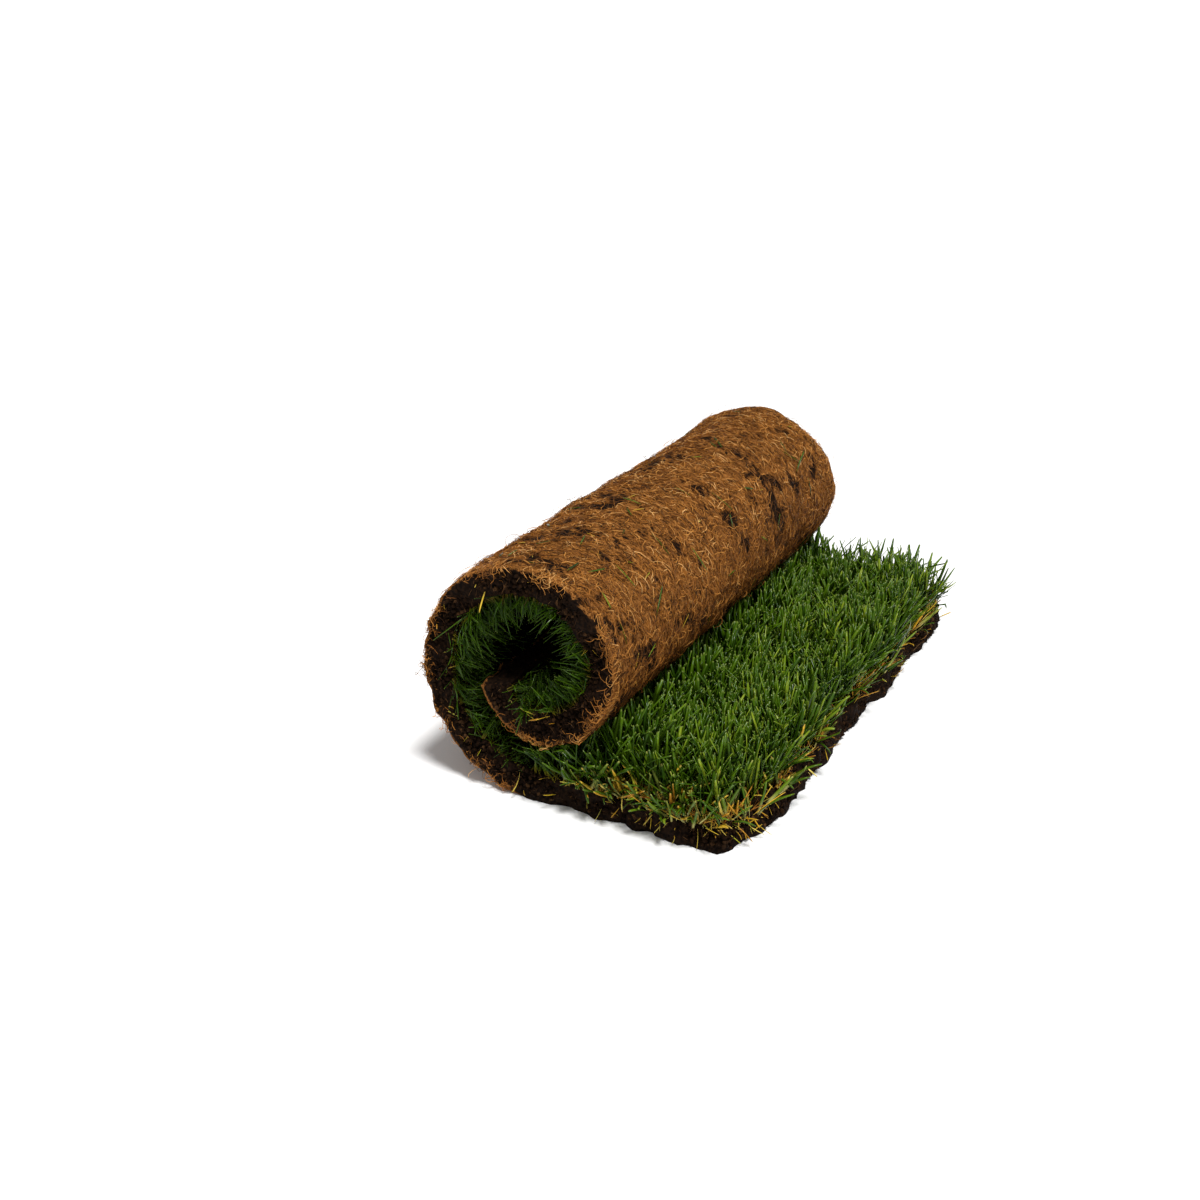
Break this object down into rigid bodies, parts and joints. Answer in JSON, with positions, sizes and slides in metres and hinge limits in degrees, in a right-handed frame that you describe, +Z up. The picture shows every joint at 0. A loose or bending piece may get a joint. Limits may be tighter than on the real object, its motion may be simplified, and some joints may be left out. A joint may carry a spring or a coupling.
{
  "type": "roll of turf",
  "caption": "Cut sheet of turf, rolled grass side in with its fibrous root mat outside, and a flat tongue of standing grass unrolled in front; laid on soil to make lawn.",
  "frame": {"origin": "middle of the footprint, on the floor", "axes": "+X towards the free edge of the unrolled tongue, +Y along the roll, +Z up"},
  "size_m": [0.251, 0.406, 0.17],
  "materials": {
    "root_mat": "matted roots and dark soil, golden brown fibre outside",
    "grass": "dense short green blades with some straw"
  },
  "bodies": {
    "root": {"root_mat": "root_mat", "grass": "grass"}
  },
  "joints": []
}
